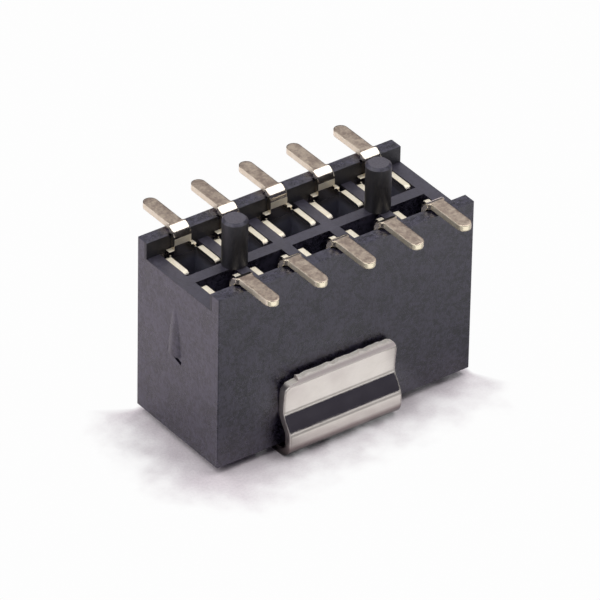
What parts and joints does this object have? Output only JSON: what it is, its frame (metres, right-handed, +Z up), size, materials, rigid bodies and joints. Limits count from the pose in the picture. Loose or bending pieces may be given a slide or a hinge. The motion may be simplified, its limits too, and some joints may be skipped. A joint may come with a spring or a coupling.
{
  "type": "surface-mount two-row female pin header",
  "caption": "Low two-row surface-mount socket strip with locating pegs and gull-wing tails, upside down on a bright spring pick-up clip.",
  "frame": {"origin": "middle of the housing's footprint, at the flat plate of the pick-up clip that the part rests on", "axes": "+X along the rows, +Y across them towards the rear row a, +Z up out of the solder side, towards the circuit board"},
  "size_m": [0.0069, 0.0048, 0.0053],
  "materials": {
    "housing_plastic": "matte moulded high-temperature plastic",
    "contact_metal": "phosphor bronze strip, matte tin on the tails",
    "clip_steel": "bright rolled stainless strip"
  },
  "bodies": {
    "root": {"housing": "housing_plastic", "contact_a1": "contact_metal", "contact_a2": "contact_metal", "contact_a3": "contact_metal", "contact_a4": "contact_metal", "contact_a5": "contact_metal", "contact_b1": "contact_metal", "contact_b2": "contact_metal", "contact_b3": "contact_metal", "contact_b4": "contact_metal", "contact_b5": "contact_metal", "pickup_clip": "clip_steel"}
  },
  "joints": []
}
